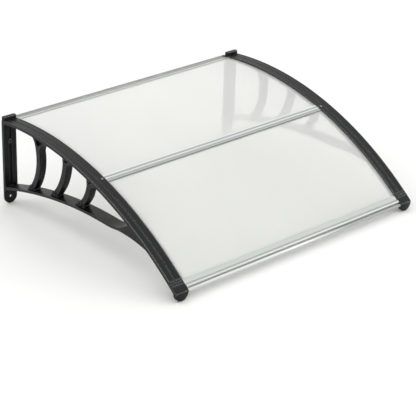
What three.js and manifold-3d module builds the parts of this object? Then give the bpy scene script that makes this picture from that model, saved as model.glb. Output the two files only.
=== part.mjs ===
// Door canopy: two moulded brackets carry two curved polycarbonate sheets,
// which are joined and edged by three aluminium strips.
// Millimetres. The wall is the plane y = 0, the canopy reaches out to -y, +z is up
// and x = 0 is the middle of the canopy. z = 0 is the top of the arch at the wall.

import * as THREE from 'three';
import { mergeVertices } from 'three/addons/utils/BufferGeometryUtils.js';
import Module from 'manifold-3d';

const wasm = await Module();
wasm.setup();

// Overall form
const WIDTH = 1000;
const PROJECTION = 882;
const ARCH_RADIUS = 1150;
const CREST_FROM_WALL = 165;
const FIT = 0.3;

// Band, the curved top of each bracket, with a slot for the sheets
const BAND_WIDTH = 49;
const TOP_SKIN = 3;
const BOTTOM_LIP = 2;
const SLOT_DEPTH = 24;
const GROOVE_WIDTH = 4;
const GROOVE_DEPTH = 1.2;
const GROOVE_BACK = 40;
const BEAD_WIDTH = 2;
const BEAD_HEIGHT = 0.8;
const BEAD_INSET = 1.5;
const RIDGE_WIDTH = 2.6;
const RIDGE_HEIGHT = 0.9;
const RIDGE_PITCH = 6.5;
const RIDGE_COUNT = 3;
const RIDGE_BACK = 35;
const RIDGE_MARGIN = 5;

// Polycarbonate sheets
const SHEET_THICKNESS = 3;
const SHEET_END_GAP = 2;

// Wall flange of the bracket
const RIM_THICKNESS = 10;
const PLATE_THICKNESS = 5;
const RIM_WIDTH = 18;
const CHANNEL_TOP_DROP = 24;
const CHANNEL_CORNER = 4;
const RIM_CORNER = 1.5;
const RIM_BELOW_ARM = 6;
const SCREW_HOLE_RADIUS = 4.5;
const LOWER_HOLE_DROP = 275;
const UPPER_HOLE_DROP = 76;
const BOSS_RADIUS = 8.5;
const BOSS_THICKNESS = 11.5;
const BLOCK_DEPTH = 15;
const BLOCK_HEIGHT = 14;
const BLOCK_CORNER = 4;
const BLOCK_BEVEL = 1.5;

// Arm, the lower strip of the bracket: a slow rise, then a short sweep up to the band
const ARM_WIDTH = 46;
const ARM_THICKNESS = 8;
const ARM_ROOT_DROP = 242;
const ARM_ROOT_HANDLE_OUT = 150;
const ARM_ROOT_HANDLE_RISE = 50;
const ARM_LEVEL_OUT = 540;
const ARM_LEVEL_DROP = 146;
const ARM_LEVEL_HANDLE = 200;
const ARM_SWEEP_HANDLE = 50;
const ARM_TIP_OUT = 658;
const ARM_TIP_HANDLE_OUT = 24;
const ARM_TIP_HANDLE_DROP = 35;
const ARM_STEPS = 14;

// Gusset under the band, in front of the arm's tip
const GUSSET_WIDTH = 43;
const GUSSET_START_OUT = 588;
const GUSSET_START_DROP = 147;
const GUSSET_HANDLE_OUT = 668;
const GUSSET_HANDLE_DROP = 138;
const GUSSET_END_OUT = 752;

// Struts between arm and band: each middle line is an arc with this bulge to the front
const STRUT_WIDTH = 26;
const STRUT_THICKNESS = 18;
const STRUT_FILLET = 14;
const REAR_STRUT_TOP_OUT = 166;
const REAR_STRUT_FOOT_OUT = 137;
const REAR_STRUT_BULGE = 31;
const REAR_FORK_OUT = 238;
const REAR_FORK_DROP = 48;
const REAR_FORK_BACK = 12;
const MIDDLE_STRUT_TOP_OUT = 325;
const MIDDLE_STRUT_FOOT_OUT = 262;
const MIDDLE_STRUT_BULGE = 18;
const MIDDLE_FORK_OUT = 368;
const MIDDLE_FORK_DROP = 40;
const MIDDLE_FORK_BACK = 3;
const FRONT_STRUT_TOP_OUT = 448;
const FRONT_STRUT_FOOT_OUT = 396;
const FRONT_STRUT_BULGE = 16;
const FRONT_FORK_OUT = 492;
const FRONT_FORK_DROP = 38;
const FRONT_FORK_BACK = 3;
const FORK_FRONT_SWEEP = 3;
const FORK_REAR_SWEEP = 2;
const POCKET_WALL = 7;
const POCKET_WEB = 5;
const POCKET_FLOOR = 14;

// Scroll ring at the foot of each strut
const RING_RADIUS = 9;
const RING_HOLLOW_RADIUS = 4.5;
const RING_HOLLOW_DEPTH = 4;
const RING_PROUD = 2.5;
const RING_RISE = 11;
const RING_OUT = 7;

// Nose at the front end of the bracket
const NOSE_THICKNESS = 13;
const NOSE_HANG = 29;
const NOSE_BEVEL = 2;

// Aluminium strips
const STRIP_WALL = 1.5;
const TONGUE_LENGTH = 20;
const TONGUE_WIDTH = 9;
const MIDDLE_OUT = 481;
const MIDDLE_WIDTH = 32;
const BEAD_RADIUS = 1.8;
const BEAD_BACK = 4;
const REAR_OUT = 12;
const REAR_WIDTH = 24;
const REAR_RISE = 6;
const FRONT_BACK = 20.5;
const FRONT_LEG = 13;
const FRONT_NOSE_RADIUS = 6.5;
const FRONT_NOSE_BACK = 12;
const FRONT_GROOVE_RADIUS = 1.3;

// Screws through the bands into the middle strip
const SCREW_FROM_SIDE = 38;
const SHANK_RADIUS = 1.7;
const SHANK_HOLE_RADIUS = 2.1;
const SHANK_LENGTH = 10;
const SHANK_POINT = 3;
const HEAD_RADIUS = 4;
const HEAD_HEIGHT = 2.4;
const HEAD_CROWN_RADIUS = 2.6;
const RECESS_WIDTH = 0.8;
const RECESS_LENGTH = 4.4;
const RECESS_DEPTH = 1;

// Facets
const ARC_STEP = THREE.MathUtils.degToRad(1.5);
const ARC_LEAST_STEP = 0.25;
const CURVE_STEPS = 10;
const ROUND_SIDES = 20;
const CORNER_STEPS = 4;
const BEVEL_STEPS = 2;
const OVERRUN = 20;
const SINK = 2;

// Sizes that follow from the ones above
const SLOT_HEIGHT = SHEET_THICKNESS + 2 * FIT;
const BAND_THICKNESS = TOP_SKIN + SLOT_HEIGHT + BOTTOM_LIP;
const BAND_UNDER = ARCH_RADIUS - BAND_THICKNESS;
const BAND_CORE = ARCH_RADIUS - BAND_THICKNESS / 2;
const SHEET_TOP = ARCH_RADIUS - TOP_SKIN - FIT;
const SHEET_UNDER = SHEET_TOP - SHEET_THICKNESS;
const STRIP_TOP = SHEET_TOP + FIT + STRIP_WALL;
const STRIP_UNDER = SHEET_UNDER - FIT - STRIP_WALL;
const ARCH_CENTRE = -Math.sqrt(ARCH_RADIUS ** 2 - CREST_FROM_WALL ** 2);
const HALF_WIDTH = WIDTH / 2;
const HALF_BAND = BAND_WIDTH / 2;
const SHEET_HALF = HALF_WIDTH - BAND_WIDTH + SLOT_DEPTH - SHEET_END_GAP;
const STRIP_HALF = HALF_WIDTH - BAND_WIDTH - FIT;
const NOSE_BACK = PROJECTION - NOSE_THICKNESS;
const BAND_END = PROJECTION - NOSE_BEVEL;
const RIDGE_START = PROJECTION - RIDGE_BACK;
const FRONT_OUT = PROJECTION - FRONT_BACK;
const SHEET_BREAK = TONGUE_WIDTH / 2 + FIT;

// Angle forward of the crest, about the arch's centre, of the point this far out
function angleOf(out, radius = ARCH_RADIUS) {
  return Math.asin((out - CREST_FROM_WALL) / radius);
}

// Height of the arch of this radius, this far out from the wall
function archHeight(out, radius) {
  return ARCH_CENTRE + Math.sqrt(radius ** 2 - (out - CREST_FROM_WALL) ** 2);
}

// Side views are drawn as (distance out from the wall, height)
function archPoint(radius, angle) {
  return new THREE.Vector2(
    CREST_FROM_WALL + radius * Math.sin(angle),
    ARCH_CENTRE + radius * Math.cos(angle),
  );
}

// Points along the arch between two angles. All radii share one set of angles, so that
// the facets of a slot and of the sheet in it stay parallel. No facet at an end is shorter
// than ARC_LEAST_STEP of a step.
function archPoints(radius, start, end) {
  const points = [archPoint(radius, start)];
  const first = Math.ceil(start / ARC_STEP + ARC_LEAST_STEP);
  const limit = end - ARC_STEP * ARC_LEAST_STEP;
  for (let step = first; step * ARC_STEP < limit; step += 1) {
    points.push(archPoint(radius, step * ARC_STEP));
  }
  points.push(archPoint(radius, end));
  return points;
}

// Part of a curved layer between two radii, cut square to the arch at places on its outer face
function layerShape(inner, outer, from, to) {
  const start = angleOf(from);
  const end = angleOf(to);
  return new THREE.Shape([
    ...archPoints(outer, start, end),
    ...archPoints(inner, start, end).reverse(),
  ]);
}

// Everything below the arch of this radius between two distances, down to a level
function belowArchShape(radius, from, to, level) {
  const shape = new THREE.Shape(archPoints(radius, angleOf(from, radius), angleOf(to, radius)));
  shape.lineTo(to, level);
  shape.lineTo(from, level);
  return shape;
}

function toSolid(geometry) {
  const bare = geometry.clone();
  bare.deleteAttribute('normal');
  bare.deleteAttribute('uv');
  const merged = mergeVertices(bare);
  return new wasm.Manifold(new wasm.Mesh({
    numProp: 3,
    vertProperties: new Float32Array(merged.attributes.position.array),
    triVerts: new Uint32Array(merged.index.array),
  }));
}

function toGeometry(solid) {
  const mesh = solid.getMesh();
  const geometry = new THREE.BufferGeometry();
  geometry.setAttribute('position', new THREE.BufferAttribute(mesh.vertProperties, 3));
  geometry.setIndex(new THREE.BufferAttribute(mesh.triVerts, 1));
  return geometry;
}

function mirrored(geometry) {
  const copy = geometry.clone();
  copy.scale(-1, 1, 1);
  copy.index.array.reverse();
  return copy;
}

function joined(solids) {
  return solids.reduce((whole, next) => whole.add(next));
}

function cutBy(solid, tools) {
  return tools.reduce((rest, tool) => rest.subtract(tool), solid);
}

// Extrudes a side view across the canopy, between two places along x
function sideSolid(shape, fromX, toX, curveSegments = CURVE_STEPS) {
  const geometry = new THREE.ExtrudeGeometry(shape, {
    depth: toX - fromX, bevelEnabled: false, curveSegments,
  });
  geometry.applyMatrix4(new THREE.Matrix4().makeBasis(
    new THREE.Vector3(0, -1, 0),
    new THREE.Vector3(0, 0, 1),
    new THREE.Vector3(-1, 0, 0),
  ));
  geometry.translate(toX, 0, 0);
  return toSolid(geometry);
}

// Extrudes a front view, drawn as (x, height), between two distances out from the wall
function frontSolid(shape, near, far, bevel = 0) {
  const geometry = new THREE.ExtrudeGeometry(shape, {
    depth: far - near - 2 * bevel,
    curveSegments: CURVE_STEPS,
    bevelEnabled: bevel > 0,
    bevelThickness: bevel,
    bevelSize: bevel,
    bevelOffset: -bevel,
    bevelSegments: BEVEL_STEPS,
  });
  geometry.rotateX(Math.PI / 2);
  geometry.translate(0, -near - bevel, 0);
  return toSolid(geometry);
}

function roundedRectangle(x0, y0, x1, y1, corner) {
  const quarter = Math.PI / 2;
  const shape = new THREE.Shape();
  shape.absarc(x1 - corner, y0 + corner, corner, -quarter, 0, false);
  shape.absarc(x1 - corner, y1 - corner, corner, 0, quarter, false);
  shape.absarc(x0 + corner, y1 - corner, corner, quarter, 2 * quarter, false);
  shape.absarc(x0 + corner, y0 + corner, corner, 2 * quarter, 3 * quarter, false);
  return shape;
}

// Front view of the bracket's width with a round lower end
function tabShape(top, bottom) {
  const shape = new THREE.Shape();
  shape.moveTo(BAND_WIDTH, top);
  shape.lineTo(0, top);
  shape.absarc(HALF_BAND, bottom + HALF_BAND, HALF_BAND, Math.PI, 2 * Math.PI, false);
  return shape;
}

// Round bar square to the wall
function wallRound(radius, x, height, near, far) {
  const geometry = new THREE.CylinderGeometry(radius, radius, far - near, ROUND_SIDES);
  geometry.translate(x, -(near + far) / 2, height);
  return toSolid(geometry);
}

// Round bar along x
function crossRound(radius, centre, fromX, toX) {
  const geometry = new THREE.CylinderGeometry(radius, radius, toX - fromX, ROUND_SIDES);
  geometry.rotateZ(Math.PI / 2);
  geometry.translate((fromX + toX) / 2, -centre.x, centre.y);
  return toSolid(geometry);
}

// Stands a shape, made along +y from the arch's centre, square to the arch
function squareToArch(geometry, x, out) {
  geometry.rotateX(Math.PI / 2 + angleOf(out));
  geometry.translate(x, -CREST_FROM_WALL, ARCH_CENTRE);
  return geometry;
}

function screwBore(x, out) {
  const low = BAND_UNDER - OVERRUN;
  const high = ARCH_RADIUS + OVERRUN;
  const geometry = new THREE.CylinderGeometry(
    SHANK_HOLE_RADIUS, SHANK_HOLE_RADIUS, high - low, ROUND_SIDES);
  geometry.translate(0, (low + high) / 2, 0);
  return toSolid(squareToArch(geometry, x, out));
}

// Middle line of the arm in side view, from the wall to the band
function armPoints() {
  const root = new THREE.Vector2(PLATE_THICKNESS / 2, -ARM_ROOT_DROP);
  const level = new THREE.Vector2(ARM_LEVEL_OUT, -ARM_LEVEL_DROP);
  const tip = new THREE.Vector2(ARM_TIP_OUT, archHeight(ARM_TIP_OUT, BAND_CORE));
  const rise = new THREE.CubicBezierCurve(
    root,
    new THREE.Vector2(ARM_ROOT_HANDLE_OUT, ARM_ROOT_HANDLE_RISE - ARM_ROOT_DROP),
    new THREE.Vector2(ARM_LEVEL_OUT - ARM_LEVEL_HANDLE, -ARM_LEVEL_DROP),
    level,
  );
  const sweep = new THREE.CubicBezierCurve(
    level,
    new THREE.Vector2(ARM_LEVEL_OUT + ARM_SWEEP_HANDLE, -ARM_LEVEL_DROP),
    new THREE.Vector2(ARM_TIP_OUT - ARM_TIP_HANDLE_OUT, tip.y - ARM_TIP_HANDLE_DROP),
    tip,
  );
  return [...rise.getPoints(ARM_STEPS), ...sweep.getPoints(ARM_STEPS).slice(1)];
}

const ARM_LINE = armPoints();

// Height of the arm's middle line, this far out from the wall
function armHeight(out) {
  const next = ARM_LINE.findIndex((point) => point.x > out);
  const before = ARM_LINE[next - 1];
  const after = ARM_LINE[next];
  return THREE.MathUtils.mapLinear(out, before.x, after.x, before.y, after.y);
}

// Strip of even thickness along a line in side view
function ribbonShape(points, thickness) {
  const sides = points.map((point, i) => {
    const before = points[Math.max(i - 1, 0)];
    const after = points[Math.min(i + 1, points.length - 1)];
    const along = after.clone().sub(before).normalize();
    const across = new THREE.Vector2(-along.y, along.x).multiplyScalar(thickness / 2);
    return [point.clone().add(across), point.clone().sub(across)];
  });
  const upper = sides.map(([above]) => above);
  const lower = sides.map(([, below]) => below);
  return new THREE.Shape([...upper, ...lower.reverse()]);
}

// Space between the middle of the arm and the middle of the band's thickness
function spandrelShape() {
  const tip = angleOf(ARM_TIP_OUT, BAND_CORE);
  const wall = angleOf(0, BAND_CORE);
  return new THREE.Shape([...ARM_LINE.slice(0, -1), ...archPoints(BAND_CORE, wall, tip).reverse()]);
}

function bandSolid() {
  const top = (height, from, to, x0, x1) => sideSolid(
    layerShape(ARCH_RADIUS - SINK, ARCH_RADIUS + height, from, to), x0, x1);
  const band = sideSolid(layerShape(BAND_UNDER, ARCH_RADIUS, 0, BAND_END), 0, BAND_WIDTH);
  const beads = [BEAD_INSET, BAND_WIDTH - BEAD_INSET - BEAD_WIDTH].map(
    (x) => top(BEAD_HEIGHT, BLOCK_DEPTH / 2, RIDGE_START, x, x + BEAD_WIDTH));
  const ridges = Array.from({ length: RIDGE_COUNT }, (_, i) => RIDGE_START + i * RIDGE_PITCH).map(
    (out) => top(RIDGE_HEIGHT, out, out + RIDGE_WIDTH, RIDGE_MARGIN, BAND_WIDTH - RIDGE_MARGIN));
  const grooveShape = layerShape(
    ARCH_RADIUS - GROOVE_DEPTH, ARCH_RADIUS + OVERRUN, BLOCK_DEPTH / 2, PROJECTION - GROOVE_BACK);
  const groove = sideSolid(
    grooveShape, HALF_BAND - GROOVE_WIDTH / 2, HALF_BAND + GROOVE_WIDTH / 2);
  return joined([band, ...beads, ...ridges]).subtract(groove);
}

function blockSolid() {
  const outline = roundedRectangle(0, -BLOCK_DEPTH, BAND_WIDTH, 0, BLOCK_CORNER);
  const geometry = new THREE.ExtrudeGeometry(outline, {
    depth: BAND_THICKNESS + BLOCK_HEIGHT - 2 * BLOCK_BEVEL,
    curveSegments: CORNER_STEPS,
    bevelThickness: BLOCK_BEVEL,
    bevelSize: BLOCK_BEVEL,
    bevelOffset: -BLOCK_BEVEL,
    bevelSegments: BEVEL_STEPS,
  });
  geometry.translate(0, 0, BLOCK_BEVEL - BAND_THICKNESS);
  return toSolid(geometry);
}

function flangeSolid() {
  const top = archHeight(0, BAND_CORE);
  const armTop = armHeight(RIM_THICKNESS) + ARM_THICKNESS / 2;
  const rimBottom = armTop - ARM_THICKNESS - RIM_BELOW_ARM;
  const plate = frontSolid(tabShape(top, -LOWER_HOLE_DROP - HALF_BAND), 0, PLATE_THICKNESS);
  const rim = frontSolid(
    roundedRectangle(0, rimBottom, BAND_WIDTH, top, RIM_CORNER), 0, RIM_THICKNESS);
  const channel = frontSolid(
    roundedRectangle(RIM_WIDTH, armTop, BAND_WIDTH - RIM_WIDTH, -CHANNEL_TOP_DROP, CHANNEL_CORNER),
    PLATE_THICKNESS, RIM_THICKNESS + OVERRUN);
  const boss = wallRound(
    BOSS_RADIUS, HALF_BAND, -UPPER_HOLE_DROP, PLATE_THICKNESS / 2, BOSS_THICKNESS);
  return joined([plate, rim.subtract(channel), boss]);
}

function flangeHoles() {
  return [-UPPER_HOLE_DROP, -LOWER_HOLE_DROP].map(
    (height) => wallRound(SCREW_HOLE_RADIUS, HALF_BAND, height, -OVERRUN, RIM_THICKNESS + OVERRUN));
}

// Circle of a strut's middle line: it runs from foot to top with the given bulge to the front
function strutCircle({ topOut, footOut, bulge }) {
  const top = new THREE.Vector2(topOut, archHeight(topOut, BAND_UNDER));
  const foot = new THREE.Vector2(footOut, armHeight(footOut) + ARM_THICKNESS / 2);
  const chord = top.clone().sub(foot);
  const halfChord = chord.length() / 2;
  const radius = (halfChord ** 2 + bulge ** 2) / (2 * bulge);
  const forward = new THREE.Vector2(chord.y, -chord.x).normalize();
  const centre = top.clone().add(foot).multiplyScalar(0.5).addScaledVector(forward, bulge - radius);
  return { top, foot, centre, radius };
}

// Distance out of a strut's front edge at this height
function strutFrontOut({ centre, radius }, height) {
  return centre.x + Math.sqrt((radius + STRUT_THICKNESS / 2) ** 2 - (height - centre.y) ** 2);
}

// Crescent, its filleted foot and its forked head in side view, past arm and band at the ends
function strutSolids(strut) {
  const circle = strutCircle(strut);
  const { top, foot, centre, radius } = circle;
  const past = STRUT_THICKNESS / radius;
  const upper = top.clone().sub(centre).angle() + past;
  const lower = foot.clone().sub(centre).angle() - 2 * Math.PI - past;
  const crescent = new THREE.Shape();
  crescent.absarc(centre.x, centre.y, radius + STRUT_THICKNESS / 2, lower, upper, false);
  crescent.absarc(centre.x, centre.y, radius - STRUT_THICKNESS / 2, upper, lower, true);

  const neckHeight = foot.y + STRUT_FILLET;
  const neckOut = strutFrontOut(circle, neckHeight);
  const rootOut = strutFrontOut(circle, foot.y);
  const endOut = neckOut + STRUT_FILLET;
  const fillet = new THREE.Shape();
  fillet.moveTo(neckOut - STRUT_THICKNESS / 2, neckHeight);
  fillet.lineTo(neckOut, neckHeight);
  fillet.quadraticCurveTo(rootOut, foot.y, endOut, armHeight(endOut) + ARM_THICKNESS / 2);
  fillet.lineTo(endOut, armHeight(endOut));
  fillet.lineTo(rootOut - STRUT_THICKNESS / 2, armHeight(rootOut));
  const x0 = HALF_BAND - STRUT_WIDTH / 2;
  const x1 = HALF_BAND + STRUT_WIDTH / 2;
  return [crescent, forkShape(circle, strut), fillet].map((shape) => sideSolid(shape, x0, x1));
}

// The head spreads from the strut's front edge to a tip on the band, and a little to the rear.
// Each edge curves over its drop divided by its sweep.
function forkShape(circle, { topOut, forkOut, forkDrop, forkBack }) {
  const tipHeight = archHeight(forkOut, BAND_UNDER);
  const neckHeight = archHeight(topOut, BAND_UNDER) - forkDrop;
  const neckFront = strutFrontOut(circle, neckHeight);
  const neckRear = neckFront - STRUT_THICKNESS;
  const rearOut = topOut - STRUT_THICKNESS / 2 - forkBack;
  const shape = new THREE.Shape();
  shape.moveTo(neckRear + SINK, neckHeight);
  shape.lineTo(neckFront, neckHeight);
  shape.quadraticCurveTo(
    neckFront + SINK, tipHeight - forkDrop / FORK_FRONT_SWEEP, forkOut, tipHeight);
  shape.lineTo(forkOut, archHeight(forkOut, BAND_CORE));
  shape.lineTo(rearOut, archHeight(rearOut, BAND_CORE));
  shape.lineTo(rearOut, archHeight(rearOut, BAND_UNDER));
  shape.quadraticCurveTo(
    neckRear, neckHeight + forkDrop / FORK_REAR_SWEEP, neckRear + SINK, neckHeight);
  return shape;
}

// Blind three-cornered pockets in both sides of a fork, with a web left between them
function pocketSolids(strut) {
  const circle = strutCircle(strut);
  const { topOut, forkOut, forkDrop } = strut;
  const roof = BAND_UNDER - SINK;
  const floorHeight = archHeight(topOut, BAND_UNDER) - forkDrop + POCKET_FLOOR;
  const floorOut = strutFrontOut(circle, floorHeight) - STRUT_THICKNESS / 2;
  const frontOut = forkOut - 2 * POCKET_WALL;
  const rearOut = topOut - STRUT_THICKNESS / 2 + POCKET_WALL;
  const shape = new THREE.Shape();
  shape.moveTo(floorOut, floorHeight);
  shape.lineTo(frontOut, archHeight(frontOut, roof));
  shape.lineTo(rearOut, archHeight(rearOut, roof));
  return [
    sideSolid(shape, HALF_BAND - STRUT_WIDTH, HALF_BAND - POCKET_WEB / 2),
    sideSolid(shape, HALF_BAND + POCKET_WEB / 2, HALF_BAND + STRUT_WIDTH),
  ];
}

function ringCentre({ footOut }) {
  const out = footOut + RING_OUT;
  return new THREE.Vector2(out, armHeight(out) + ARM_THICKNESS / 2 + RING_RISE);
}

function ringSolid(strut) {
  const reach = STRUT_WIDTH / 2 + RING_PROUD;
  return crossRound(RING_RADIUS, ringCentre(strut), HALF_BAND - reach, HALF_BAND + reach);
}

function ringHollows(strut) {
  const reach = STRUT_WIDTH / 2 + RING_PROUD;
  return [-1, 1].map((side) => {
    const inner = HALF_BAND + side * (reach - RING_HOLLOW_DEPTH);
    const outer = HALF_BAND + side * (reach + OVERRUN);
    const low = Math.min(inner, outer);
    const high = Math.max(inner, outer);
    return crossRound(RING_HOLLOW_RADIUS, ringCentre(strut), low, high);
  });
}

function gussetSolid() {
  const start = angleOf(ARM_TIP_OUT, BAND_CORE);
  const end = angleOf(GUSSET_END_OUT, BAND_CORE);
  const roof = archPoints(BAND_CORE, start, end).reverse();
  const shape = new THREE.Shape();
  shape.moveTo(GUSSET_START_OUT, -GUSSET_START_DROP);
  shape.quadraticCurveTo(
    GUSSET_HANDLE_OUT, -GUSSET_HANDLE_DROP,
    GUSSET_END_OUT, archHeight(GUSSET_END_OUT, BAND_UNDER));
  roof.forEach((point) => shape.lineTo(point.x, point.y));
  return sideSolid(shape, HALF_BAND - GUSSET_WIDTH / 2, HALF_BAND + GUSSET_WIDTH / 2);
}

function noseSolid() {
  const bottom = archHeight(PROJECTION, ARCH_RADIUS) - NOSE_HANG;
  const tab = frontSolid(tabShape(archHeight(NOSE_BACK, ARCH_RADIUS) + OVERRUN, bottom),
    NOSE_BACK, PROJECTION, NOSE_BEVEL);
  const under = belowArchShape(ARCH_RADIUS, NOSE_BACK - OVERRUN, PROJECTION + OVERRUN, bottom - OVERRUN);
  return tab.intersect(sideSolid(under, -OVERRUN, BAND_WIDTH + OVERRUN));
}

const STRUTS = [
  {
    topOut: REAR_STRUT_TOP_OUT,
    footOut: REAR_STRUT_FOOT_OUT,
    bulge: REAR_STRUT_BULGE,
    forkOut: REAR_FORK_OUT,
    forkDrop: REAR_FORK_DROP,
    forkBack: REAR_FORK_BACK,
  },
  {
    topOut: MIDDLE_STRUT_TOP_OUT,
    footOut: MIDDLE_STRUT_FOOT_OUT,
    bulge: MIDDLE_STRUT_BULGE,
    forkOut: MIDDLE_FORK_OUT,
    forkDrop: MIDDLE_FORK_DROP,
    forkBack: MIDDLE_FORK_BACK,
  },
  {
    topOut: FRONT_STRUT_TOP_OUT,
    footOut: FRONT_STRUT_FOOT_OUT,
    bulge: FRONT_STRUT_BULGE,
    forkOut: FRONT_FORK_OUT,
    forkDrop: FRONT_FORK_DROP,
    forkBack: FRONT_FORK_BACK,
  },
];

// Left bracket, with x = 0 at its outer side
function bracketGeometry() {
  const arm = sideSolid(
    ribbonShape(ARM_LINE, ARM_THICKNESS), HALF_BAND - ARM_WIDTH / 2, HALF_BAND + ARM_WIDTH / 2);
  const spandrel = sideSolid(spandrelShape(), 0, BAND_WIDTH);
  const struts = joined(STRUTS.flatMap(strutSolids)).intersect(spandrel);
  const whole = joined([
    bandSolid(),
    flangeSolid(),
    blockSolid(),
    arm,
    cutBy(struts, STRUTS.flatMap(pocketSolids)),
    ...STRUTS.map(ringSolid),
    gussetSolid(),
    noseSolid(),
  ]);
  const slot = sideSolid(
    layerShape(SHEET_UNDER - FIT, SHEET_TOP + FIT, -OVERRUN, NOSE_BACK),
    BAND_WIDTH - SLOT_DEPTH, BAND_WIDTH + OVERRUN);
  return toGeometry(cutBy(whole, [
    slot,
    ...flangeHoles(),
    ...STRUTS.flatMap(ringHollows),
    screwBore(SCREW_FROM_SIDE, MIDDLE_OUT),
  ]));
}

function sheetGeometry(from, to) {
  return toGeometry(sideSolid(layerShape(SHEET_UNDER, SHEET_TOP, from, to), -SHEET_HALF, SHEET_HALF));
}

// Strip layer between the brackets
function stripLayer(inner, outer, from, to) {
  return sideSolid(layerShape(inner, outer, from, to), -STRIP_HALF, STRIP_HALF);
}

// Bar between the sheets' edges, with ends that lie in the slots of the bands
function tongueSolid(out) {
  const reach = STRIP_HALF + TONGUE_LENGTH;
  return sideSolid(
    layerShape(SHEET_UNDER, SHEET_TOP, out - TONGUE_WIDTH / 2, out + TONGUE_WIDTH / 2), -reach, reach);
}

// Upper flange, lower flange and web round the edges of the sheets
function channelSolids(out, from, to) {
  return [
    stripLayer(STRIP_TOP - STRIP_WALL, STRIP_TOP, from, to),
    stripLayer(STRIP_UNDER, STRIP_UNDER + STRIP_WALL, from, to),
    stripLayer(STRIP_UNDER, STRIP_TOP, out - TONGUE_WIDTH / 2, out + TONGUE_WIDTH / 2),
    tongueSolid(out),
  ];
}

function middleStripGeometry() {
  const beadOut = MIDDLE_OUT - BEAD_BACK;
  const beadCentre = archPoint(STRIP_TOP, angleOf(beadOut));
  const screwX = HALF_WIDTH - SCREW_FROM_SIDE;
  const whole = joined([
    ...channelSolids(MIDDLE_OUT, MIDDLE_OUT - MIDDLE_WIDTH / 2, MIDDLE_OUT + MIDDLE_WIDTH / 2),
    crossRound(BEAD_RADIUS, beadCentre, -STRIP_HALF, STRIP_HALF),
  ]);
  return toGeometry(cutBy(whole, [-screwX, screwX].map((x) => screwBore(x, MIDDLE_OUT))));
}

function rearStripGeometry() {
  const low = archHeight(0, STRIP_UNDER);
  const high = archHeight(0, STRIP_TOP) + REAR_RISE;
  const upstand = new THREE.Shape();
  upstand.moveTo(0, low);
  upstand.lineTo(STRIP_WALL, low);
  upstand.lineTo(STRIP_WALL, high);
  upstand.lineTo(0, high);
  return toGeometry(joined([
    ...channelSolids(REAR_OUT, 0, REAR_WIDTH),
    sideSolid(upstand, -STRIP_HALF, STRIP_HALF),
  ]));
}

function frontStripGeometry() {
  const to = FRONT_OUT + TONGUE_WIDTH / 2;
  const core = (SHEET_TOP + SHEET_UNDER) / 2;
  const noseCentre = archPoint(core, angleOf(PROJECTION - FRONT_NOSE_BACK));
  const grooveCentre = archPoint(STRIP_TOP, angleOf(to));
  const whole = joined([
    ...channelSolids(FRONT_OUT, to - FRONT_LEG, to),
    crossRound(FRONT_NOSE_RADIUS, noseCentre, -STRIP_HALF, STRIP_HALF),
  ]);
  const groove = crossRound(FRONT_GROOVE_RADIUS, grooveCentre, -WIDTH, WIDTH);
  return toGeometry(whole.subtract(groove));
}

// Pan-head screw with a cross recess
function screwGeometry(x, out) {
  const profile = [
    new THREE.Vector2(0, -SHANK_LENGTH),
    new THREE.Vector2(SHANK_RADIUS, SHANK_POINT - SHANK_LENGTH),
    new THREE.Vector2(SHANK_RADIUS, 0),
    new THREE.Vector2(HEAD_RADIUS, 0),
    new THREE.Vector2(HEAD_RADIUS, HEAD_HEIGHT / 2),
    new THREE.Vector2(HEAD_CROWN_RADIUS, HEAD_HEIGHT),
    new THREE.Vector2(0, HEAD_HEIGHT),
  ];
  const body = toSolid(new THREE.LatheGeometry(profile, ROUND_SIDES));
  const recess = [0, Math.PI / 2].map((turn) => {
    const bar = new THREE.BoxGeometry(RECESS_LENGTH, 2 * RECESS_DEPTH, RECESS_WIDTH);
    bar.rotateY(turn);
    bar.translate(0, HEAD_HEIGHT, 0);
    return toSolid(bar);
  });
  const geometry = toGeometry(cutBy(body, recess));
  geometry.translate(0, ARCH_RADIUS + FIT, 0);
  return squareToArch(geometry, x, out);
}

const FINISHES = {
  moulding: { color: 0x2c2d2f, roughness: 0.55, metalness: 0 },
  sheet: { color: 0xe8ebe7, roughness: 0.2, metalness: 0 },
  aluminium: { color: 0xb8bbbc, roughness: 0.4, metalness: 1 },
  screw: { color: 0xc6c8c9, roughness: 0.3, metalness: 1 },
};

const canopy = new THREE.Group();

function addPiece(name, finish, geometry, x = 0) {
  const mesh = new THREE.Mesh(geometry, new THREE.MeshStandardMaterial(FINISHES[finish]));
  mesh.name = name;
  mesh.position.x = x;
  canopy.add(mesh);
}

const bracket = bracketGeometry();
addPiece('left_bracket', 'moulding', bracket, -HALF_WIDTH);
addPiece('right_bracket', 'moulding', mirrored(bracket), HALF_WIDTH);

addPiece('rear_sheet', 'sheet', sheetGeometry(REAR_OUT + SHEET_BREAK, MIDDLE_OUT - SHEET_BREAK));
addPiece('front_sheet', 'sheet', sheetGeometry(MIDDLE_OUT + SHEET_BREAK, FRONT_OUT - SHEET_BREAK));

addPiece('rear_strip', 'aluminium', rearStripGeometry());
addPiece('middle_strip', 'aluminium', middleStripGeometry());
addPiece('front_strip', 'aluminium', frontStripGeometry());

addPiece('left_screw', 'screw', screwGeometry(SCREW_FROM_SIDE - HALF_WIDTH, MIDDLE_OUT));
addPiece('right_screw', 'screw', screwGeometry(HALF_WIDTH - SCREW_FROM_SIDE, MIDDLE_OUT));

export default canopy;
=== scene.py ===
import math

import bpy
from mathutils import Matrix, Vector


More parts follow.
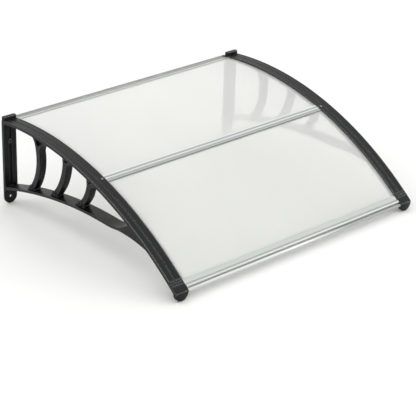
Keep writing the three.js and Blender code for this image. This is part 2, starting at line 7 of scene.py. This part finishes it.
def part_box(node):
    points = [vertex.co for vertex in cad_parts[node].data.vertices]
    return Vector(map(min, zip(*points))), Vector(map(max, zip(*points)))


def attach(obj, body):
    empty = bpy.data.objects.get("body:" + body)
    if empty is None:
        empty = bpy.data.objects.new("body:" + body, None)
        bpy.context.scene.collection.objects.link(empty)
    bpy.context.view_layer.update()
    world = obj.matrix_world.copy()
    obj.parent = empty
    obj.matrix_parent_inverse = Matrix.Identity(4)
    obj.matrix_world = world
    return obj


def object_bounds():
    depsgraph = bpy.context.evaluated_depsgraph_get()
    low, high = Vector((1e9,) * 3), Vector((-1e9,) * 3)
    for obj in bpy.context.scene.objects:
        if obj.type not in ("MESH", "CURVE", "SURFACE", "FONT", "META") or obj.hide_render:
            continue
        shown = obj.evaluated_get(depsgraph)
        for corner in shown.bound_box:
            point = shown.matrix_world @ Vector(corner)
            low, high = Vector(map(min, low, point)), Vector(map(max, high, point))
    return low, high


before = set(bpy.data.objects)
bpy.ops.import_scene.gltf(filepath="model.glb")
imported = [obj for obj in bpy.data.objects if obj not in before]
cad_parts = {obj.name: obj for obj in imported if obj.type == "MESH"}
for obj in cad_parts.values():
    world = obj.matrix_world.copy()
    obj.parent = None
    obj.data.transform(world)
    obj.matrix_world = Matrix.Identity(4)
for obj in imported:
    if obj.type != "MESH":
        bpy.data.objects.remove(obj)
cad_low, cad_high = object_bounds()
scene = bpy.context.scene

# Camera: place in metres, turns in degrees, lens and sensor in millimetres
CAMERA_PLACE = Vector((-3.0115, -3.8308, 2.0260))
CAMERA_AZIMUTH = 41.665
CAMERA_ELEVATION = 27.056
CAMERA_ROLL = 2.002
CAMERA_LENS = 134.1
CAMERA_SENSOR = 36.0
CAMERA_NEAR = 0.1
CAMERA_FAR = 100.0

# Floor, in metres
FLOOR_HALF = 14.0
FLOOR_GAP = 0.0004
NOSE_REACH = 0.02
FLOOR_COLOUR = (0.775, 0.775, 0.77)
FLOOR_ROUGHNESS = 0.7
FLOOR_SHINE = 0.1

# Softboxes, in metres and watts
LIGHTS_AIM = Vector((0.0, -0.45, -0.28))
KEY_PLACE = Vector((-2.0, 1.6, 3.4))
KEY_SIZE = 1.4
KEY_WATTS = 22.0
GLINT_PLACE = Vector((2.4, -3.3, 1.5))
GLINT_SIZE = 0.7
GLINT_WATTS = 16.0

# Glow of the studio, full above the height GLOW_RISE on a sphere of radius one
STUDIO_COLOUR = (1.0, 1.0, 1.0)
ZENITH_GLOW = 1.31
HORIZON_GLOW = 0.95
GLOW_RISE = 0.8
SIDE_GLOW = 0.06
FRONT_GLOW = 0.16

# Noise textures: the usual range of their values, and the detail of fine and cloudy ones
NOISE_LOW = 0.3
NOISE_HIGH = 0.7
FINE_DETAIL = 2.0
CLOUD_DETAIL = 3.0

# Black moulding, with noise scales in cells per metre
MOULDING_COLOUR = (0.0036, 0.0038, 0.0041)
MOULDING_SHINE = 0.2
MOULDING_ROUGHNESS = (0.26, 0.46)
GRAIN_SCALE = 1400.0
GRAIN_STRENGTH = 0.35
GRAIN_DEPTH = 0.0002
STREAK_SCALES = (420.0, 7.0, 7.0)
STREAK_SHADES = (0.3, 2.6)

# Slight rounding of the edges of the moulding and the metals, in metres
EDGE_RADIUS = 0.0015
EDGE_SAMPLES = 4

# Painted highlights on the edges of the moulding: a lighter colour where the edges would catch
# the light. EDGE_TURN, EDGE_OPENNESS and EDGE_FACING_RANGE each say where the effect begins and
# where it is full.
# Colour of the painted edge highlights
EDGE_HIGHLIGHT_COLOUR = (0.55, 0.555, 0.56)
EDGE_TURN = (0.995, 0.85)
EDGE_OPENNESS = (0.6, 0.85)
EDGE_REACH = 0.004
EDGE_REACH_SAMPLES = 6
EDGE_FACING = Vector((0.0, -0.7, 0.714))
EDGE_FACING_RANGE = (0.68, 0.88)
EDGE_LEAST = 0.24

# Hazy sheets. SHEET_CLEAR is the share of light that passes straight, SHEET_BLURRED the part
# of that share which is blurred, and SHEET_THROUGH the part of the rest that glows through.
SHEET_COLOUR = (0.938, 0.942, 0.928)
SHEET_SHADE = 0.985
SHEET_CLOUD_SCALE = 5.0
SHEET_CLEAR = 0.45
SHEET_BLURRED = 0.3
SHEET_THROUGH = 0.6
SHEET_IOR = 1.02
SHEET_BLUR = 0.3
SHEET_ROUGHNESS = 0.14

# Metals, with noise scales in cells per metre. LINE_ROUGHNESS is added to the roughness.
LINE_SCALE = 900.0
EXTRUDED_SCALE = 4.0
LINE_STRENGTH = 0.2
LINE_DEPTH = 0.0001
LINE_ROUGHNESS = (-0.05, 0.06)
LINE_SHADES = (0.9, 1.05)
BAND_SHADES = (0.94, 1.06)
ALUMINIUM_ROUGHNESS = 0.36
ZINC_COLOUR = (0.26, 0.26, 0.255)
ZINC_ROUGHNESS = 0.32
GREY = (0.34, 0.345, 0.34)
SATIN = (0.45, 0.455, 0.45)
PALE_GREY = (0.44, 0.45, 0.44)
GREEN_GREY = (0.455, 0.485, 0.455)
# Own colour of the drip edge's metal, and the colour of the painted highlights on the strips
BRIGHT_METAL_AND_HIGHLIGHT = (0.66, 0.67, 0.66)
# Painted shade line at the middle strip's front
PAINTED_SHADE_LINE = (0.24, 0.25, 0.24)

# Tones across each strip, each with the distance from the wall in metres where it begins.
# The bright bands are painted highlights, and the dark line and the front strip's darker nose are
# painted shade.
STRIP_BANDS = {
    "rear_strip": (
        (0.0, SATIN),
        (0.018, BRIGHT_METAL_AND_HIGHLIGHT),
    ),
    "middle_strip": (
        (0.465, BRIGHT_METAL_AND_HIGHLIGHT),
        (0.472, GREY),
        (0.4788, BRIGHT_METAL_AND_HIGHLIGHT),
        (0.483, PALE_GREY),
        (0.486, GREY),
        (0.490, PALE_GREY),
        (0.4935, PAINTED_SHADE_LINE),
    ),
    "front_strip": (
        (0.84, GREEN_GREY),
        # The front strip's nose is darker: painted shade
        (0.867, PALE_GREY),
    ),
}

# Smooth shading of the solids, with the welding distance in metres
WELD_DISTANCE = 0.00002
SHARP_ANGLE = math.radians(28)

# The dark lips, seen through the sheets, also lay a darker line along each band that stands in
# for shade
# Lips along the bands' inner edges, in metres. LIP_TOP is a radius about the arch's centre,
# LIP_INNER and LIP_OUTER are distances from the middle, and LIP_FROM and LIP_TO from the wall.
ARCH_RADIUS = 1.150
CREST_OUT = 0.165
LIP_TOP = 1.1414
LIP_THICKNESS = 0.0016
LIP_INNER = 0.4425
LIP_OUTER = 0.4545
LIP_FROM = 0.03
LIP_TO = 0.85
LIP_STEPS = 48

# Drip edge under the front strip's nose, in metres
DRIP_RADIUS = 0.0055
DRIP_BELOW = 0.0022
DRIP_HALF = 0.4505
DRIP_SIDES = 28


def make_camera():
    azimuth = math.radians(CAMERA_AZIMUTH)
    elevation = math.radians(CAMERA_ELEVATION)
    ahead = Vector((
        math.sin(azimuth) * math.cos(elevation),
        math.cos(azimuth) * math.cos(elevation),
        -math.sin(elevation),
    ))
    level = Vector((math.cos(azimuth), -math.sin(azimuth), 0.0))
    right = Matrix.Rotation(-math.radians(CAMERA_ROLL), 3, ahead) @ level
    up = right.cross(ahead)
    data = bpy.data.cameras.new("camera")
    data.lens = CAMERA_LENS
    data.sensor_width = CAMERA_SENSOR
    data.clip_start = CAMERA_NEAR
    data.clip_end = CAMERA_FAR
    camera = bpy.data.objects.new("camera", data)
    turn = Matrix((right, up, -ahead)).transposed()
    camera.matrix_world = Matrix.Translation(CAMERA_PLACE) @ turn.to_4x4()
    scene.collection.objects.link(camera)
    scene.camera = camera


def opaque(colour, shade=1.0):
    """A colour as a socket takes it, made darker or lighter by a shade."""
    return (colour[0] * shade, colour[1] * shade, colour[2] * shade, 1.0)


def new_material(name):
    material = bpy.data.materials.new(name)
    material.use_nodes = True
    return material, material.node_tree, material.node_tree.nodes["Principled BSDF"]


def add_node(tree, kind, values):
    """A new node, with constants for the inputs that are named."""
    node = tree.nodes.new(kind)
    for name, value in values.items():
        node.inputs[name].default_value = value
    return node


def place_coordinates(tree, scales=(1.0, 1.0, 1.0)):
    """The place on the object in metres, stretched by a scale along each axis."""
    source = tree.nodes.new("ShaderNodeTexCoord")
    mapping = add_node(tree, "ShaderNodeMapping", {"Scale": scales})
    tree.links.new(source.outputs["Object"], mapping.inputs["Vector"])
    return mapping.outputs["Vector"]


def noise(tree, vector, detail, scale=1.0):
    node = add_node(tree, "ShaderNodeTexNoise", {"Scale": scale, "Detail": detail})
    tree.links.new(vector, node.inputs["Vector"])
    return node.outputs["Fac"]


def separated(tree, vector):
    """The X, Y and Z of a vector."""
    split = tree.nodes.new("ShaderNodeSeparateXYZ")
    tree.links.new(vector, split.inputs["Vector"])
    return split.outputs


def mapped(tree, value, start, end, low=0.0, high=1.0):
    """A value that runs from low to high as the input runs from start to end."""
    node = add_node(tree, "ShaderNodeMapRange", {
        "From Min": start,
        "From Max": end,
        "To Min": low,
        "To Max": high,
    })
    tree.links.new(value, node.inputs["Value"])
    return node.outputs["Result"]


def noise_mapped(tree, value, low, high):
    """A value that runs from low to high over the usual range of a noise texture."""
    return mapped(tree, value, NOISE_LOW, NOISE_HIGH, low, high)


def tinted(tree, value, dark, light):
    """A colour that runs from dark to light over the usual range of a noise texture."""
    node = tree.nodes.new("ShaderNodeValToRGB")
    first, last = node.color_ramp.elements
    first.position = NOISE_LOW
    first.color = dark
    last.position = NOISE_HIGH
    last.color = light
    tree.links.new(value, node.inputs["Fac"])
    return node.outputs["Color"]


def product(tree, first, second):
    node = tree.nodes.new("ShaderNodeMath")
    node.operation = "MULTIPLY"
    tree.links.new(first, node.inputs[0])
    tree.links.new(second, node.inputs[1])
    return node.outputs["Value"]


def dot_product(tree, first, second):
    """The dot product of two directions. The second comes from a node or is a constant."""
    node = tree.nodes.new("ShaderNodeVectorMath")
    node.operation = "DOT_PRODUCT"
    tree.links.new(first, node.inputs[0])
    if isinstance(second, Vector):
        node.inputs[1].default_value = second
    else:
        tree.links.new(second, node.inputs[1])
    return node.outputs["Value"]


def blended(tree, factor, first, second):
    """A colour between a node's colour and a constant one."""
    node = tree.nodes.new("ShaderNodeMix")
    node.data_type = "RGBA"
    node.inputs["B"].default_value = second
    tree.links.new(factor, node.inputs["Factor"])
    tree.links.new(first, node.inputs["A"])
    return node.outputs["Result"]


def mixed(tree, share, first, second):
    """Two shaders mixed, with a constant share of the second."""
    node = add_node(tree, "ShaderNodeMixShader", {"Fac": share})
    tree.links.new(first, node.inputs[1])
    tree.links.new(second, node.inputs[2])
    return node.outputs["Shader"]


def rounded_normal(tree):
    """The way the surface faces, turned slightly round at edges."""
    bevel = add_node(tree, "ShaderNodeBevel", {"Radius": EDGE_RADIUS})
    bevel.samples = EDGE_SAMPLES
    return bevel.outputs["Normal"]


def add_bump(tree, shader, normal, height, strength, depth):
    bump = add_node(tree, "ShaderNodeBump", {"Strength": strength, "Distance": depth})
    tree.links.new(height, bump.inputs["Height"])
    tree.links.new(normal, bump.inputs["Normal"])
    tree.links.new(bump.outputs["Normal"], shader.inputs["Normal"])


def painted_edge_highlights(tree, rounded):
    """Mask of painted highlights: up to one on edges that stand out, most where they look up and
    forward, else nought.
    """
    geometry = tree.nodes.new("ShaderNodeNewGeometry")
    turn = mapped(tree, dot_product(tree, geometry.outputs["Normal"], rounded), *EDGE_TURN)
    around = add_node(tree, "ShaderNodeAmbientOcclusion", {"Distance": EDGE_REACH})
    around.samples = EDGE_REACH_SAMPLES
    openness = mapped(tree, around.outputs["AO"], *EDGE_OPENNESS)
    facing = dot_product(tree, rounded, EDGE_FACING)
    facing = mapped(tree, facing, *EDGE_FACING_RANGE, EDGE_LEAST)
    return product(tree, product(tree, turn, openness), facing)


def moulding_material():
    """Black plastic with a fine grain, faint streaks, and painted highlights on its edges."""
    material, tree, shader = new_material("black_moulding")
    grain = noise(tree, place_coordinates(tree), FINE_DETAIL, GRAIN_SCALE)
    streaks = noise(tree, place_coordinates(tree, STREAK_SCALES), FINE_DETAIL)
    rounded = rounded_normal(tree)
    add_bump(tree, shader, rounded, grain, GRAIN_STRENGTH, GRAIN_DEPTH)
    dark, light = (opaque(MOULDING_COLOUR, shade) for shade in STREAK_SHADES)
    body = tinted(tree, streaks, dark, light)
    # Painted highlights laid over the edges, lighter where they would catch the light
    colour = blended(tree, painted_edge_highlights(tree, rounded), body, opaque(EDGE_HIGHLIGHT_COLOUR))
    tree.links.new(colour, shader.inputs["Base Color"])
    roughness = noise_mapped(tree, streaks, *MOULDING_ROUGHNESS)
    tree.links.new(roughness, shader.inputs["Roughness"])
    shader.inputs["Specular IOR Level"].default_value = MOULDING_SHINE
    return material


def sheet_material():
    """Haze that scatters light both ways, with some light straight through, and a gloss."""
    material, tree, gloss = new_material("hazy_polycarbonate")
    gloss.inputs["Roughness"].default_value = SHEET_ROUGHNESS
    clear = tree.nodes.new("ShaderNodeBsdfTransparent")
    blurred = add_node(
        tree, "ShaderNodeBsdfRefraction", {"IOR": SHEET_IOR, "Roughness": SHEET_BLUR})
    through = tree.nodes.new("ShaderNodeBsdfTranslucent")

    clouds = noise(tree, place_coordinates(tree), CLOUD_DETAIL, SHEET_CLOUD_SCALE)
    colour = tinted(tree, clouds, opaque(SHEET_COLOUR, SHEET_SHADE), opaque(SHEET_COLOUR))
    tree.links.new(colour, gloss.inputs["Base Color"])
    for shader in (clear, blurred, through):
        tree.links.new(colour, shader.inputs["Color"])

    straight = mixed(tree, SHEET_BLURRED, clear.outputs["BSDF"], blurred.outputs["BSDF"])
    haze = mixed(tree, SHEET_THROUGH, gloss.outputs["BSDF"], through.outputs["BSDF"])
    body = mixed(tree, SHEET_CLEAR, haze, straight)
    tree.links.new(body, tree.nodes["Material Output"].inputs["Surface"])
    return material


def metal_shader(name, roughness, along):
    """Metal with fine noise in its gloss, which a small scale along x draws out into lines."""
    material, tree, shader = new_material(name)
    scales = (along, LINE_SCALE, LINE_SCALE)
    lines = noise(tree, place_coordinates(tree, scales), FINE_DETAIL)
    low, high = (roughness + change for change in LINE_ROUGHNESS)
    tree.links.new(noise_mapped(tree, lines, low, high), shader.inputs["Roughness"])
    shader.inputs["Metallic"].default_value = 1.0
    add_bump(tree, shader, rounded_normal(tree), lines, LINE_STRENGTH, LINE_DEPTH)
    return material, tree, shader, lines


def plain_metal(name, colour, roughness, along):
    material, tree, shader, lines = metal_shader(name, roughness, along)
    dark, light = (opaque(colour, shade) for shade in LINE_SHADES)
    tree.links.new(tinted(tree, lines, dark, light), shader.inputs["Base Color"])
    return material


def band_colour(tree, name):
    """The tones of a strip side by side from its back to its front, sharp at their borders, with
    painted highlights and painted shade among them.
    """
    low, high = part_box(name)
    depth = high.y - low.y
    node = tree.nodes.new("ShaderNodeValToRGB")
    node.color_ramp.interpolation = "CONSTANT"
    # A new ramp has a stop at each end, and only the first is kept
    stops = node.color_ramp.elements
    stops.remove(stops[-1])
    for number, (out, colour) in enumerate(STRIP_BANDS[name]):
        position = max((high.y + out) / depth, 0.0)
        stop = stops.new(position) if number else stops[0]
        stop.position = position
        stop.color = opaque(colour)
    source = tree.nodes.new("ShaderNodeTexCoord")
    across = separated(tree, source.outputs["Object"])["Y"]
    tree.links.new(mapped(tree, across, high.y, low.y), node.inputs["Fac"])
    return node.outputs["Color"]


def strip_material(name):
    """Satin aluminium with the strip's tones, painted highlights and painted shade, made slightly
    uneven by its fine lines.
    """
    material, tree, shader, lines = metal_shader(
        name + "_aluminium", ALUMINIUM_ROUGHNESS, EXTRUDED_SCALE)
    uneven = tree.nodes.new("ShaderNodeVectorMath")
    uneven.operation = "SCALE"
    tree.links.new(band_colour(tree, name), uneven.inputs[0])
    tree.links.new(noise_mapped(tree, lines, *BAND_SHADES), uneven.inputs["Scale"])
    tree.links.new(uneven.outputs["Vector"], shader.inputs["Base Color"])
    return material


def dress(names, material):
    for name in names:
        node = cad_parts[name]
        node.data.materials.clear()
        node.data.materials.append(material)


def soften(name):
    """Smooth shading across the facets of round forms, crisp at real edges."""
    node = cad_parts[name]
    mesh = node.data
    if "custom_normal" in mesh.attributes:
        mesh.attributes.remove(mesh.attributes["custom_normal"])
    mesh.polygons.foreach_set("use_smooth", [True] * len(mesh.polygons))
    weld = node.modifiers.new("weld", "WELD")
    weld.merge_threshold = WELD_DISTANCE
    split = node.modifiers.new("crisp_edges", "EDGE_SPLIT")
    split.split_angle = SHARP_ANGLE
    split.use_edge_sharp = False


def new_bar(name, rings, material, round_sides):
    """Closed bar through rings of corners that turn right-handed about the way along it."""
    size = len(rings[0])
    corners = [corner for ring in rings for corner in ring]
    faces = []
    for start in range(0, len(corners) - size, size):
        for first in range(size):
            second = (first + 1) % size
            faces.append((
                start + first,
                start + second,
                start + size + second,
                start + size + first,
            ))
    sides = len(faces)
    faces.append(tuple(reversed(range(size))))
    faces.append(tuple(range(len(corners) - size, len(corners))))
    mesh = bpy.data.meshes.new(name)
    mesh.from_pydata(corners, [], faces)
    smooth = [round_sides and number < sides for number in range(len(faces))]
    mesh.polygons.foreach_set("use_smooth", smooth)
    mesh.materials.append(material)
    bar = bpy.data.objects.new(name, mesh)
    scene.collection.objects.link(bar)
    return bar


def add_inner_lip(name, side, material):
    """Thin lip along a band's inner edge, just under the sheets and strips; seen dark through the
    sheets, it also stands in for shade along the band.
    """
    centre_z = -math.sqrt(ARCH_RADIUS ** 2 - CREST_OUT ** 2)
    bottom = LIP_TOP - LIP_THICKNESS
    section = (
        (LIP_INNER, LIP_TOP),
        (LIP_INNER, bottom),
        (LIP_OUTER, bottom),
        (LIP_OUTER, LIP_TOP),
    )
    rings = []
    for step in range(LIP_STEPS + 1):
        out = LIP_FROM + (LIP_TO - LIP_FROM) * step / LIP_STEPS
        turn = math.asin((out - CREST_OUT) / ARCH_RADIUS)
        rings.append([
            (side * x, -CREST_OUT - radius * math.sin(turn), centre_z + radius * math.cos(turn))
            for x, radius in section
        ])
    # The mirrored rings turn the other way, so the bar runs back along them
    if side < 0:
        rings.reverse()
    lip = new_bar(name, rings, material, False)
    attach(lip, "root")


def add_drip_edge(material):
    """Round bar along the front, partly under the front strip's nose."""
    low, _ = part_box("front_strip")
    middle_y = cad_low.y + DRIP_RADIUS
    middle_z = low.z - DRIP_BELOW
    turns = [math.tau * side / DRIP_SIDES for side in range(DRIP_SIDES)]
    rings = [
        [
            (x, middle_y + DRIP_RADIUS * math.cos(turn), middle_z + DRIP_RADIUS * math.sin(turn))
            for turn in turns
        ]
        for x in (-DRIP_HALF, DRIP_HALF)
    ]
    bar = new_bar("drip_edge", rings, material, True)
    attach(bar, "root")


def make_floor():
    """Pale plane just under the flanges' feet at the wall and the noses at the front."""
    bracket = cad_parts["left_bracket"]
    low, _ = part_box("left_bracket")
    nose_end = low.y + NOSE_REACH
    nose_low = min(vertex.co.z for vertex in bracket.data.vertices if vertex.co.y < nose_end)
    slope = (nose_low - low.z) / (low.y + NOSE_REACH / 2)
    corners = [
        (x, y, low.z - FLOOR_GAP + slope * y)
        for x, y in (
            (-FLOOR_HALF, -FLOOR_HALF),
            (FLOOR_HALF, -FLOOR_HALF),
            (FLOOR_HALF, FLOOR_HALF),
            (-FLOOR_HALF, FLOOR_HALF),
        )
    ]
    mesh = bpy.data.meshes.new("floor")
    mesh.from_pydata(corners, [], [(0, 1, 2, 3)])
    floor = bpy.data.objects.new("floor", mesh)
    scene.collection.objects.link(floor)
    material, _, shader = new_material("pale_floor")
    shader.inputs["Base Color"].default_value = opaque(FLOOR_COLOUR)
    shader.inputs["Roughness"].default_value = FLOOR_ROUGHNESS
    shader.inputs["Specular IOR Level"].default_value = FLOOR_SHINE
    mesh.materials.append(material)


def add_softbox(name, place, size, watts):
    data = bpy.data.lights.new(name, "AREA")
    data.shape = "SQUARE"
    data.size = size
    data.energy = watts
    light = bpy.data.objects.new(name, data)
    light.location = place
    light.rotation_mode = "QUATERNION"
    light.rotation_quaternion = (LIGHTS_AIM - place).to_track_quat("-Z", "Y")
    scene.collection.objects.link(light)


def make_world():
    """White glow, most from overhead and a little more from the right and the front."""
    world = bpy.data.worlds.new("studio")
    world.use_nodes = True
    scene.world = world
    tree = world.node_tree
    background = tree.nodes["Background"]
    background.inputs["Color"].default_value = opaque(STUDIO_COLOUR)
    source = tree.nodes.new("ShaderNodeTexCoord")
    direction = separated(tree, source.outputs["Generated"])
    glow = mapped(tree, direction["Z"], 0.0, GLOW_RISE, HORIZON_GLOW, ZENITH_GLOW)
    glow.node.interpolation_type = "SMOOTHSTEP"
    for axis, lean in (("X", SIDE_GLOW), ("Y", -FRONT_GLOW)):
        node = tree.nodes.new("ShaderNodeMath")
        node.operation = "MULTIPLY_ADD"
        node.inputs[1].default_value = lean
        tree.links.new(direction[axis], node.inputs[0])
        tree.links.new(glow, node.inputs[2])
        glow = node.outputs["Value"]
    tree.links.new(glow, background.inputs["Strength"])


def set_tones():
    scene.view_settings.view_transform = "Standard"
    scene.view_settings.look = "None"


make_camera()
make_floor()
add_softbox("rear_softbox", KEY_PLACE, KEY_SIZE, KEY_WATTS)
add_softbox("front_softbox", GLINT_PLACE, GLINT_SIZE, GLINT_WATTS)
make_world()
set_tones()

moulding = moulding_material()
dress(["left_bracket", "right_bracket"], moulding)
# Lips that also put shade, seen through the sheets, along the bands' inner edges
add_inner_lip("left_inner_lip", -1, moulding)
add_inner_lip("right_inner_lip", 1, moulding)
dress(["rear_sheet", "front_sheet"], sheet_material())
for name in STRIP_BANDS:
    dress([name], strip_material(name))
dress(["left_screw", "right_screw"], plain_metal("zinc", ZINC_COLOUR, ZINC_ROUGHNESS, LINE_SCALE))
add_drip_edge(plain_metal("drip_edge_aluminium", BRIGHT_METAL_AND_HIGHLIGHT, ALUMINIUM_ROUGHNESS, EXTRUDED_SCALE))
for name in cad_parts:
    soften(name)
